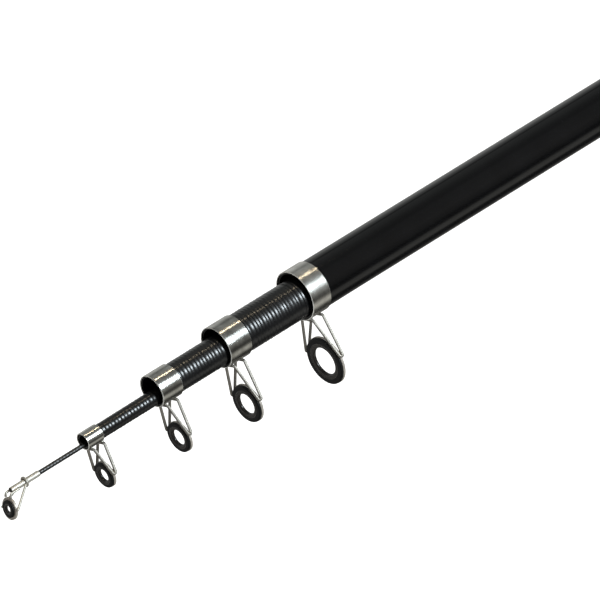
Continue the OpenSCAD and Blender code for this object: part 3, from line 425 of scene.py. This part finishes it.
def bar_fillet(bm, collar_r, x, half):
    """Braze between one bar and the collar above it: hollow-sided, widest in the middle, tapering to both ends."""
    steps = 12
    sunk = 0.00006
    low = collar_r + JOINT_GAP + WIRE_R + WIRE_R * 0.15
    loops = []
    for i in range(steps + 1):
        u = 2 * i / steps - 1
        y = u * half
        roof = math.sqrt(collar_r ** 2 - y ** 2) - sunk
        wide = WIRE_R * (0.75 + 0.95 * math.sqrt(max(0.0, 1 - u * u)))
        points = []
        for side in (-1, 1):
            flank = [(wide, roof), (wide * 0.66, roof + (low - roof) * 0.32), (WIRE_R * 0.98, low - WIRE_R * 0.45),
                     (WIRE_R * 0.9, low)]
            if side > 0:
                flank.reverse()
            points += [(x + side * px, y, -pz) for px, pz in flank]
        loops.append([bm.verts.new(p) for p in points])
    skin_loops(bm, loops)


def run_bead(bm, place, along, out, sizes, dice):
    """Bead of braze that has run along a joint: long along the wire, flat towards the pieces it joins."""
    along = along.normalized()
    side = along.cross(out).normalized()
    out = side.cross(along)
    ball = bmesh.ops.create_icosphere(bm, subdivisions=3, radius=1.0)["verts"]
    waves = [(Vector([dice.uniform(-3, 3) for _ in range(3)]), dice.uniform(0, 6.3)) for _ in range(4)]
    for v in ball:
        p = v.co.copy()
        lump = 1 + 0.05 * sum(math.sin(w.dot(p) + ph) for w, ph in waves)
        v.co = place + lump * (along * p.x * sizes[0] + side * p.y * sizes[1] + out * p.z * sizes[2])


def solid_piece(name, bm, finish):
    """Smooth object from a closed mesh, its normals outward."""
    bmesh.ops.recalc_face_normals(bm, faces=bm.faces)
    mesh = bpy.data.meshes.new(name)
    bm.to_mesh(mesh)
    bm.free()
    for face in mesh.polygons:
        face.use_smooth = True
    mesh.materials.append(finish)
    piece = bpy.data.objects.new(name, mesh)
    bpy.context.scene.collection.objects.link(piece)
    return piece


def run_piece(name, bm, body, finish):
    """Sets a mesh of braze or resin, made along a section's own axis, on that section and makes it ride there."""
    bmesh.ops.transform(bm, matrix=section_place(body), verts=bm.verts)
    piece = solid_piece(name, bm, finish)
    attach(piece, body)


# two beads of braze where a leg passes the hoop: half sizes along, across and out, and where they sit
BEAD_SIZE = (0.0011, 0.00042, 0.00035)
BEAD_OUT = 0.0001
BEAD_DOWN = 0.0003
BEAD_APART = 0.0011
dice = random.Random(7)
for body, guide in GUIDES.items():
    wear_finish(body + "_frame", drawn_steel)
    hoop_x = guide.ring_x - HOOP_BACK
    bm = bmesh.new()
    fillet_half = min(guide.bar_half * 0.62, guide.collar_r * 0.5)
    for end in (-1, 1):
        bar_fillet(bm, guide.collar_r, hoop_x + end * BAR_APART / 2, fillet_half)
    # the legs run from the bars' ends past the hoop at a tangent, so they lean by this angle
    bar_down = guide.drop - (guide.collar_r + JOINT_GAP + WIRE_R)
    reach = math.hypot(guide.bar_half, bar_down)
    lean = math.asin((guide.hoop_r + JOINT_GAP + WIRE_R) / reach) - math.atan2(guide.bar_half, bar_down)
    for side in (-1, 1):
        out = Vector((0, side * math.cos(lean), math.sin(lean)))
        down = Vector((0, side * math.sin(lean), -math.cos(lean)))
        spot = Vector((hoop_x, 0, -guide.drop)) + out * (guide.hoop_r + BEAD_OUT) + down * BEAD_DOWN
        for end in (-1, 1):
            run_bead(bm, spot + Vector((end * BEAD_APART / 2, 0, 0)), down, out, BEAD_SIZE, dice)
    run_piece(body + "_guide_braze", bm, body, silver_braze)


# Guide rings: a pressed and polished steel hoop carries a black nylon shock ring, and in that sits the polished
# dark ceramic ring that the line runs through.
hoop_steel = turned_finish("hoop_steel", 0.7, (0.42, 0.375, 0.33), (0.56, 0.515, 0.465), relief=(0.00002, 0.15),
                           Density=1500.0, Shine=0.42, Spread=0.1)
shock_nylon = gloss_finish("shock_nylon", (0.003, 0.003, 0.0031), (0.005, 0.005, 0.0052), 0.00006, 0.5,
                           extra={"Specular IOR Level": 0.3},
                           Shine=0.38, Dulling=0.2, Peel_Scale=2600.0, Scratch=0.3)
ring_ceramic = gloss_finish("ring_ceramic", (0.014, 0.0122, 0.011), (0.022, 0.0195, 0.0175), 0.00002, 0.3,
                            Shine=0.12, Dulling=0.08, Peel_Scale=3000.0, Scratch=0.5)
for body in ("butt", "second", "third", "fourth", "tip"):
    wear_finish(body + "_hoop", hoop_steel)
    wear_finish(body + "_shock_ring", shock_nylon)
    wear_finish(body + "_ceramic", ring_ceramic)


# Ring bonds: the resin that holds each of the four sections' ceramic rings in its shock ring has welled up.
# It stands as a hair-thin bead round the ceramic, on both faces.
bond_resin, tree, shader, where = start_finish("bond_resin", rough=0.3)
cure = put(tree, "ShaderNodeTexNoise", named={"Vector": where, "Scale": 900.0, "Detail": 3.0})
two_tones(tree, shader, cure.outputs[0], (0.035, 0.033, 0.03), (0.07, 0.067, 0.062))
BOND_BEAD_R = 0.00012


def circle(count):
    """Cosine and sine of evenly spread angles round a circle."""
    return [(math.cos(2 * math.pi * k / count), math.sin(2 * math.pi * k / count)) for k in range(count)]


for body, guide in GUIDES.items():
    low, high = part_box(body + "_ceramic")
    bm = bmesh.new()
    for face in (-1, 1):
        face_x = guide.ring_x + face * (high.x - low.x) / 2
        loops = []
        for y, z in circle(72):
            bead = [(face_x + BOND_BEAD_R * up, guide.bond_r + BOND_BEAD_R * out) for out, up in circle(8)]
            loops.append([bm.verts.new((x, r * y, r * z - guide.drop)) for x, r in bead])
        skin_loops(bm, loops, ring=True)
    run_piece(body + "_ring_bond", bm, body, bond_resin)


# Tip-top: a steel tube glued on the tip, with a wire band round its middle that carries two rear legs, and two
# front wires along its lower sides. Braze fills the corners between the front wires and the tube.
tip_steel = turned_finish("tip_steel", 0.75, (0.46, 0.435, 0.385), (0.56, 0.535, 0.48), relief=(0.000004, 0.05),
                          Density=1800.0, Shine=0.42, Spread=0.06)
for name in ("tip_tube", "tip_band", "tip_leg_left", "tip_leg_right", "tip_wire_left", "tip_wire_right"):
    wear_finish(name, tip_steel)
TIP_LEN = 0.9249
TUBE_R = 0.00123
TIP_WIRE_R = 0.0005
WIRE_ANGLE = math.radians(15)
# the braze on each side: where it starts before the tube's mouth, its length, how far in from the wire, half sizes
BRAZE_BACK = 0.0031
BRAZE_LEN = 0.003
BRAZE_IN = 0.86
BRAZE_Y = 0.00048
BRAZE_Z = 0.00066
BRAZE_STEPS = 8
bm = bmesh.new()
wire_off = TUBE_R + JOINT_GAP + TIP_WIRE_R
wire_y = wire_off * math.cos(WIRE_ANGLE)
wire_z = -wire_off * math.sin(WIRE_ANGLE)
for side in (-1, 1):
    loops = []
    for i in range(BRAZE_STEPS + 1):
        u = i / BRAZE_STEPS
        x = TIP_LEN - BRAZE_BACK + u * BRAZE_LEN
        close = 0.55 + 0.45 * math.sin(math.pi * min(1.0, 0.15 + u))
        loops.append([bm.verts.new((x, side * (wire_y * BRAZE_IN + close * BRAZE_Y * y),
                                    wire_z * BRAZE_IN + close * BRAZE_Z * z)) for y, z in circle(12)])
    skin_loops(bm, loops)
run_piece("tip_top_braze", bm, "tip", silver_braze)


# Butt end: a turned and black-anodised alloy sleeve is glued round the rear of the blank, and the cap of the same
# alloy screws into it with a fine thread on its spigot. The turning leaves satin lines round both.
THREAD_PITCH = 0.0012
SPIGOT_FROM = 0.0104
SPIGOT_R = 0.01055


def round_axis(tree, where):
    """Coordinates of the shaded point one by one, and its distance from the rod's axis."""
    split = put(tree, "ShaderNodeSeparateXYZ", where).outputs
    squares = calc(tree, "ADD", calc(tree, "POWER", split[1], 2.0), calc(tree, "POWER", split[2], 2.0))
    return split, calc(tree, "SQRT", squares)


black_alloy, tree, shader, where = start_finish("black_alloy", metal=0.85)
lathe = use_group(tree, turned, where, Density=5200.0, Shine=0.3, Spread=0.2)
two_tones(tree, shader, lathe["Tone"], (0.030, 0.030, 0.033), (0.048, 0.048, 0.052))
tree.links.new(lathe["Roughness"], shader.inputs["Roughness"])
split, round_r = round_axis(tree, where)
turn = calc(tree, "DIVIDE", calc(tree, "ARCTAN2", split[2], split[1]), 2 * math.pi)
thread = calc(tree, "PINGPONG", calc(tree, "ADD", calc(tree, "DIVIDE", split[0], THREAD_PITCH), turn), 0.5)
on_spigot = calc(tree, "MULTIPLY", calc(tree, "GREATER_THAN", split[0], SPIGOT_FROM),
                 calc(tree, "LESS_THAN", round_r, SPIGOT_R))
height = calc(tree, "MULTIPLY_ADD", calc(tree, "MULTIPLY", thread, on_spigot), 20.0, lathe["Height"])
raise_grain(tree, shader, height, 0.00003, 0.6)
wear_finish("butt_sleeve", black_alloy)
wear_finish("cap", black_alloy)


# Bumper and pad: a moulded rubber bumper with ribs round its face is bonded to the rear of the cap, and a disc of
# closed-cell foam is glued on the spigot's end, for the collapsed sections to land on.
RIB_PITCH = 0.0024
FACE_DEPTH = 0.0008
FACE_R = 0.0088
bumper_rubber, tree, shader, where = start_finish("bumper_rubber")
speck = put(tree, "ShaderNodeTexNoise", named={"Vector": where, "Scale": 900.0, "Detail": 5.0})
two_tones(tree, shader, speck.outputs[0], (0.010, 0.010, 0.010), (0.024, 0.024, 0.0235))
tree.links.new(span(tree, speck.outputs[0], 0.62, 0.9), shader.inputs["Roughness"])
split, round_r = round_axis(tree, where)
ribs = calc(tree, "PINGPONG", calc(tree, "DIVIDE", round_r, RIB_PITCH), 0.5)
on_face = calc(tree, "MULTIPLY", calc(tree, "LESS_THAN", split[0], FACE_DEPTH),
               calc(tree, "LESS_THAN", round_r, FACE_R))
height = calc(tree, "MULTIPLY_ADD", calc(tree, "MULTIPLY", ribs, on_face), 6.0, speck.outputs[0])
raise_grain(tree, shader, height, 0.0001, 0.7)
wear_finish("cap_bumper", bumper_rubber)

cell_foam, tree, shader, where = start_finish("cell_foam", rough=0.9)
cells = put(tree, "ShaderNodeTexVoronoi", named={"Vector": where, "Scale": 1700.0})
two_tones(tree, shader, cells.outputs["Distance"], (0.016, 0.016, 0.017), (0.045, 0.045, 0.047))
tree.links.new(span(tree, cells.outputs["Distance"], 0.8, 0.98), shader.inputs["Roughness"])
raise_grain(tree, shader, cells.outputs["Distance"], 0.0002, 0.8)
low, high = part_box("cap_pad")
pad_r = (high.y - low.y) / 2
pad_t = high.x - low.x
profile = [(0.0, 0.0), (pad_r - 0.0009, 0.0), (pad_r - 0.0003, 0.0003), (pad_r - 0.0001, 0.001),
           (pad_r - 0.0003, pad_t * 0.5), (pad_r - 0.0001, pad_t - 0.0013), (pad_r - 0.0005, pad_t - 0.0005),
           (pad_r - 0.0016, pad_t - 0.0001), (pad_r * 0.6, pad_t - 0.0002), (pad_r * 0.3, pad_t - 0.0006),
           (0.0, pad_t - 0.0007)]
PAD_AROUND = 48
bm = bmesh.new()
rows = []
for r, x in profile:
    spots = circle(PAD_AROUND) if r else [(0.0, 0.0)]
    rows.append([bm.verts.new((low.x + x, r * y, r * z)) for y, z in spots])
for a, b in zip(rows, rows[1:]):
    for k in range(PAD_AROUND):
        j = (k + 1) % PAD_AROUND
        ring = [a[k % len(a)], a[j % len(a)], b[j % len(b)], b[k % len(b)]]
        bm.faces.new(list(dict.fromkeys(ring)))
foam_pad = solid_piece("foam_pad", bm, cell_foam)
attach(foam_pad, "cap")
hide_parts("cap_pad")


# Reel seat: a moulded nylon saddle plate under the butt, with a fixed and a sliding hood pressed from black-coated
# steel, and a bright steel clamp lever on a pin.
seat_nylon = gloss_finish("seat_nylon", (0.012, 0.012, 0.0125), (0.022, 0.022, 0.023), 0.00008, 0.5,
                          Shine=0.3, Dulling=0.25, Peel_Scale=1900.0, Scratch=0.7)
wear_finish("seat_plate", seat_nylon)
coated_steel = gloss_finish("coated_steel", (0.013, 0.013, 0.014), (0.024, 0.024, 0.025), 0.00006, 0.5,
                            Shine=0.2, Dulling=0.16, Peel_Scale=1100.0, Scratch=0.9)
for name in ("seat_fixed_hood", "seat_sliding_hood"):
    wear_finish(name, coated_steel)
lever_steel = turned_finish("lever_steel", 1.0, (0.54, 0.53, 0.50), (0.66, 0.65, 0.62), relief=(0.00003, 0.2),
                            Density=3200.0, Shine=0.16, Spread=0.22)
for name in ("seat_lever", "lever_pin"):
    wear_finish(name, lever_steel)


# Seat wraps: nylon thread wound tight over the plate's feet and the blank, turn against turn, then varnished.
# Each turn runs straight from the corner of the foot to the blank, as thread under tension does.
THREAD_D = 0.0004
# a little thicker, so that the turns press on each other
THREAD_DRAWN = THREAD_D * 1.06
FOOT_HALF = 0.0045
FOOT_T = 0.0012
# the butt blank's taper: radius at its front end, how much more at the rear, its front end and its length
BUTT_FRONT_R = 0.0105
BUTT_GAIN = 0.001
TAPER_END = 0.7901
TAPER_LEN = 0.7381
wound_thread = gloss_finish("wound_thread", (0.008, 0.008, 0.009), (0.02, 0.02, 0.022), 0.00004, 0.4,
                            extra={"Coat Weight": 0.6, "Coat Roughness": 0.1},
                            Shine=0.16, Dulling=0.2, Peel_Scale=2400.0, Scratch=0.2)


def thread_tree():
    """Geometry Nodes tree: one loop of thread, thickened and repeated turn against turn along the blank's taper."""
    g, size, out = growing_tree("thread_turns", {
        "Thread Diameter": "Float", "Pitch": "Float", "Taper": "Float", "Turns": "Int", "Start": "Vector",
        "Finish": "Material"})
    loop = put(g, "GeometryNodeMeshToCurve", size["Geometry"])
    ring = put(g, "GeometryNodeCurvePrimitiveCircle", mode="RADIUS", named={
        "Resolution": 6, "Radius": calc(g, "MULTIPLY", size["Thread Diameter"], 0.5)})
    one = put(g, "GeometryNodeCurveToMesh", loop.outputs[0], ring.outputs[0])
    one = put(g, "GeometryNodeSetShadeSmooth", one.outputs[0])
    step = put(g, "ShaderNodeCombineXYZ", size["Pitch"], 0.0, 0.0)
    row = put(g, "GeometryNodeMeshLine", mode="OFFSET", count_mode="TOTAL", named={
        "Count": size["Turns"], "Start Location": size["Start"], "Offset": step.outputs[0]})
    thin = calc(g, "MULTIPLY_ADD", put(g, "GeometryNodeInputIndex").outputs[0], size["Taper"], 1.0)
    shrink = put(g, "ShaderNodeCombineXYZ", 1.0, thin, thin)
    turns = put(g, "GeometryNodeInstanceOnPoints", row.outputs[0],
                named={"Instance": one.outputs[0], "Scale": shrink.outputs[0]})
    whole = put(g, "GeometryNodeRealizeInstances", turns.outputs[0])
    whole = put(g, "GeometryNodeSetMaterial", whole.outputs[0], named={"Material": size["Finish"]})
    g.links.new(whole.outputs[0], out["Geometry"])
    return g


def thread_loop(name, blank_r):
    """Closed loop that thread takes round the blank and the foot below it, pulled tight: the outline of both."""
    ring = blank_r + JOINT_GAP + THREAD_D / 2
    foot = blank_r + JOINT_GAP + FOOT_T + JOINT_GAP + THREAD_D / 2
    dots = [(ring * y, ring * z) for z, y in circle(180)]
    edge = FOOT_HALF + THREAD_D / 2
    foot_steps = 24
    for k in range(foot_steps + 1):
        y = -edge + 2 * edge * k / foot_steps
        dots.append((y, -math.sqrt(foot ** 2 - y ** 2)))
    dots = sorted(set(dots))
    halves = []
    for run in (dots, dots[::-1]):
        half = []
        for p in run:
            while len(half) > 1 and ((half[-1][0] - half[-2][0]) * (p[1] - half[-2][1])
                                     - (half[-1][1] - half[-2][1]) * (p[0] - half[-2][0])) <= 0:
                half.pop()
            half.append(p)
        halves += half[:-1]
    mesh = bpy.data.meshes.new(name)
    edges = [(k, (k + 1) % len(halves)) for k in range(len(halves))]
    mesh.from_pydata([(0, y, z) for y, z in halves], edges, [])
    return mesh


turns_of_thread = thread_tree()
for name, node in (("rear", "seat_wrap_rear"), ("front", "seat_wrap_front")):
    low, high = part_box(node)
    turns = int((high.x - low.x - THREAD_D) / THREAD_D) + 1
    rear_r = BUTT_FRONT_R + BUTT_GAIN * (TAPER_END - low.x) / TAPER_LEN
    wrap = grow(name + "_thread_wrap", turns_of_thread, {
        "Thread Diameter": THREAD_DRAWN, "Pitch": (high.x - low.x - THREAD_DRAWN) / (turns - 1),
        "Taper": -BUTT_GAIN / TAPER_LEN * THREAD_D / rear_r, "Turns": turns,
        "Start": (low.x + THREAD_DRAWN / 2, 0.0, 0.0), "Finish": wound_thread},
        thread_loop(name + "_loop", rear_r))
    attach(wrap, "butt")
    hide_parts(node)


# Studio: a white table lit from below, a large soft light beside the camera, a thin warm tube light overhead, and
# grey walls and screens round the table that show in the lacquer and the steel as soft bands along the rod.
TABLE_Z = -0.16
TABLE_X = 0.5
TABLE_HALF = 6.0
TABLE_CELLS = 8
floor_mesh = bpy.data.meshes.new("table")
bm = bmesh.new()
marks = [TABLE_HALF * (2 * i / TABLE_CELLS - 1) for i in range(TABLE_CELLS + 1)]
grid = [[bm.verts.new((TABLE_X + x, y, TABLE_Z)) for y in marks] for x in marks]
for a, b in zip(grid, grid[1:]):
    for j in range(TABLE_CELLS):
        bm.faces.new((a[j], b[j], b[j + 1], a[j + 1]))
bm.to_mesh(floor_mesh)
bm.free()
table_white, tree, shader, where = start_finish("table_white", rough=0.9)
mottle = put(tree, "ShaderNodeTexNoise", named={"Vector": where, "Scale": 3.0, "Detail": 3.0})
two_tones(tree, shader, mottle.outputs[0], (0.80, 0.80, 0.80), (0.83, 0.83, 0.83))
shader.inputs["Emission Color"].default_value = (1, 1, 1, 1)
shader.inputs["Emission Strength"].default_value = 0.9
floor_mesh.materials.append(table_white)
floor = bpy.data.objects.new("table", floor_mesh)
bpy.context.scene.collection.objects.link(floor)
floor.visible_glossy = False


def soft_light(name, place, target, size_x, size_y, watts, colour):
    """Area light that faces a point, its first side along the rod."""
    data = bpy.data.lights.new(name, "AREA")
    data.shape = "RECTANGLE"
    data.size = size_x
    data.size_y = size_y
    data.energy = watts
    data.color = colour
    lamp = bpy.data.objects.new(name, data)
    bpy.context.scene.collection.objects.link(lamp)
    back = (Vector(place) - Vector(target)).normalized()
    side = (Vector((1, 0, 0)) - back * back.x).normalized()
    turn = Matrix((side, back.cross(side), back)).transposed().to_4x4()
    lamp.matrix_world = Matrix.Translation(place) @ turn
    lamp.visible_camera = False


DAYLIGHT = (0.84, 0.94, 1.0)
soft_light("key_softbox", (0.43, 1.494, 0.573), (0.43, 0.0, 0.0), 0.56, 0.96, 15.5, DAYLIGHT)
soft_light("key_core", (0.43, 1.48, 0.568), (0.43, 0.0, 0.0), 0.56, 0.44, 15.5, DAYLIGHT)
soft_light("warm_tube", (0.85, 0.312, 1.467), (0.85, 0.0, 0.0), 1.9, 0.06, 5.8, (1.0, 0.84, 0.6))

world = bpy.data.worlds.new("studio")
bpy.context.scene.world = world
world.use_nodes = True
tree = world.node_tree
sky = tree.nodes["Background"]
split = put(tree, "ShaderNodeSeparateXYZ", put(tree, "ShaderNodeTexCoord").outputs["Generated"]).outputs
tilt = calc(tree, "ARCTAN2", split[2], split[1])
ramp = put(tree, "ShaderNodeValToRGB", calc(tree, "MULTIPLY_ADD", tilt, 0.5 / math.pi, 0.5))
# angle round the rod in degrees from the camera's side upwards, and the grey seen there
SCREENS = ((-180, 0.5), (-160, 0.3), (-152, 0.22), (-136, 0.22), (-120, 0.16), (-112, 0.09), (-104, 0.04),
           (-88, 0.03), (-80, 0.1), (-72, 0.4), (-64, 0.5), (-54, 0.46), (-46, 0.15), (-40, 0.06), (-30, 0.055),
           (-20, 0.15), (-8, 0.2), (4, 0.25), (52, 0.22), (64, 0.16), (76, 0.18), (88, 0.22), (100, 0.28),
           (112, 0.28), (120, 0.27), (123, 0.22), (126, 0.02), (129, 0.22), (136, 0.35), (148, 0.48), (160, 0.55),
           (180, 0.5))
# the screens are coolest at this angle and warmest opposite it
COOLEST = 110
COOL = 0.05
WARM = 0.06
while len(ramp.color_ramp.elements) < len(SCREENS):
    ramp.color_ramp.elements.new(0.5)
for stop, (degrees, grey) in zip(ramp.color_ramp.elements, SCREENS):
    stop.position = degrees / 360 + 0.5
    above = math.cos(math.radians(degrees - COOLEST))
    stop.color = (grey * (1 - COOL * max(above, 0)), grey * 0.99, grey * (0.97 + WARM * min(above, 0)), 1)
# the walls grow dark towards the rod's two ends, and the camera sees plain white behind the table
ends = put(tree, "ShaderNodeMapRange", calc(tree, "ABSOLUTE", split[0]), 0.58, 0.85, 1.0, 0.12)
walls = put(tree, "ShaderNodeVectorMath", ramp.outputs[0], named={"Scale": ends.outputs[0]}, operation="SCALE")
seen = put(tree, "ShaderNodeMix", put(tree, "ShaderNodeLightPath").outputs["Is Camera Ray"], data_type="RGBA",
           named={6: walls.outputs[0], 7: (1.2, 1.2, 1.2, 1.0)})
tree.links.new(seen.outputs[2], sky.inputs["Color"])


# Camera: where the photograph was taken from, ahead of the rod, to its left and above it, with the same narrow
# angle. Its axes are the picture's right, its up and the way back from it.
CAMERA_AT = (1.773322, 1.423624, 0.629552)
CAMERA_AXES = ((-0.7213, 0.62568, -0.29708), (-0.44541, -0.09055, 0.89073), (0.53041, 0.77481, 0.344))
camera_data = bpy.data.cameras.new("camera")
camera_data.lens = 273.16
camera_data.sensor_width = 36.0
camera_data.sensor_fit = "HORIZONTAL"
camera_data.clip_start = 0.05
camera_data.clip_end = 60.0
camera = bpy.data.objects.new("camera", camera_data)
bpy.context.scene.collection.objects.link(camera)
camera.matrix_world = Matrix.Translation(CAMERA_AT) @ Matrix(CAMERA_AXES).transposed().to_4x4()
bpy.context.scene.camera = camera
bpy.context.scene.view_settings.view_transform = "Standard"
